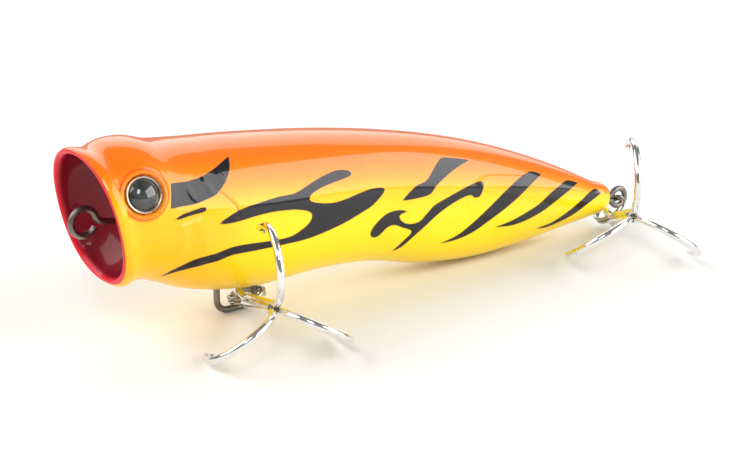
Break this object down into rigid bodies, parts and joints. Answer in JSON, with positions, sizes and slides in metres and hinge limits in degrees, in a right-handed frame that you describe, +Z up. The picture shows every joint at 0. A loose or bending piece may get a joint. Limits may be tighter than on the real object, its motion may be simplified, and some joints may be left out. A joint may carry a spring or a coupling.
{
  "type": "topwater popper fishing lure",
  "caption": "Cup-faced topwater fishing lure with a hollow two-piece body, through wire, rattle balls and two treble hooks on split rings.",
  "frame": {"origin": "centre of the tow eye in the mouth cup", "axes": "+X from nose to tail, along the surface it lies on; +Y across the body towards its right-hand side; +Z up. The body lies nose-up by 8.1 degrees, at rest on its belly hanger and hooks."},
  "size_m": [0.1391, 0.0518, 0.04],
  "materials": {
    "painted_shell": "airbrushed orange over yellow under clear coat",
    "wire_steel": "bright drawn wire, dulled",
    "ring_steel": "polished spring wire",
    "hook_tin": "bright tinned plating",
    "hook_braze": "silver braze under the plating",
    "ballast_metal": "cast weight, plain",
    "rattle_steel": "polished ball",
    "eye_foil": "silver foil",
    "eye_resin": "dark pupil under a clear dome"
  },
  "bodies": {
    "lure_body": {"body_left_half": "painted_shell", "body_right_half": "painted_shell", "through_wire": "wire_steel", "belly_hanger": "wire_steel", "belly_ballast": "ballast_metal", "tail_ballast": "ballast_metal", "left_eye_disc": "eye_foil", "right_eye_disc": "eye_foil", "left_eye_dome": "eye_resin", "right_eye_dome": "eye_resin"},
    "belly_ring": {"belly_split_ring": "ring_steel"},
    "belly_hook": {"belly_hook_pair": "hook_tin", "belly_hook_single": "hook_tin", "belly_hook_braze": "hook_braze"},
    "tail_ring": {"tail_split_ring": "ring_steel"},
    "tail_hook": {"tail_hook_pair": "hook_tin", "tail_hook_single": "hook_tin", "tail_hook_braze": "hook_braze"},
    "rear_ball": {"rattle_ball_rear": "rattle_steel"},
    "middle_ball": {"rattle_ball_middle": "rattle_steel"},
    "front_ball": {"rattle_ball_front": "rattle_steel"}
  },
  "joints": [
    {"name": "belly_ring_swing", "type": "hinge", "parent": "lure_body", "child": "belly_ring", "pos_m": [0.0377, 0, -0.0216], "axis": [0, 0, 1], "range_deg": [-2, 66]},
    {"name": "belly_hook_swing", "type": "hinge", "parent": "belly_ring", "child": "belly_hook", "pos_m": [0.03315, -0.00345, -0.02152], "axis": [0.7615, -0.613, 0.2105], "range_deg": [-2, 130]},
    {"name": "tail_ring_swing", "type": "hinge", "parent": "lure_body", "child": "tail_ring", "pos_m": [0.13316, 0, -0.01895], "axis": [0, 1, 0], "range_deg": [-180, 0]},
    {"name": "tail_hook_swing", "type": "hinge", "parent": "tail_ring", "child": "tail_hook", "pos_m": [0.12774, -0.00423, -0.02166], "axis": [0.5841, -0.5815, 0.5662], "range_deg": [-18, 72]},
    {"name": "rear_ball_roll", "type": "slide", "parent": "lure_body", "child": "rear_ball", "axis": [-0.99, 0, 0.1409], "range_m": [0, 0.008]},
    {"name": "middle_ball_roll", "type": "slide", "parent": "lure_body", "child": "middle_ball", "axis": [-0.99, 0, 0.1409], "range_m": [0, 0.008]},
    {"name": "front_ball_roll", "type": "slide", "parent": "lure_body", "child": "front_ball", "axis": [-0.99, 0, 0.1409], "range_m": [0, 0.008]}
  ],
  "couplings": [
    {"joint": "middle_ball_roll", "follows": "rear_ball_roll", "ratio": 1},
    {"joint": "front_ball_roll", "follows": "rear_ball_roll", "ratio": 1}
  ]
}
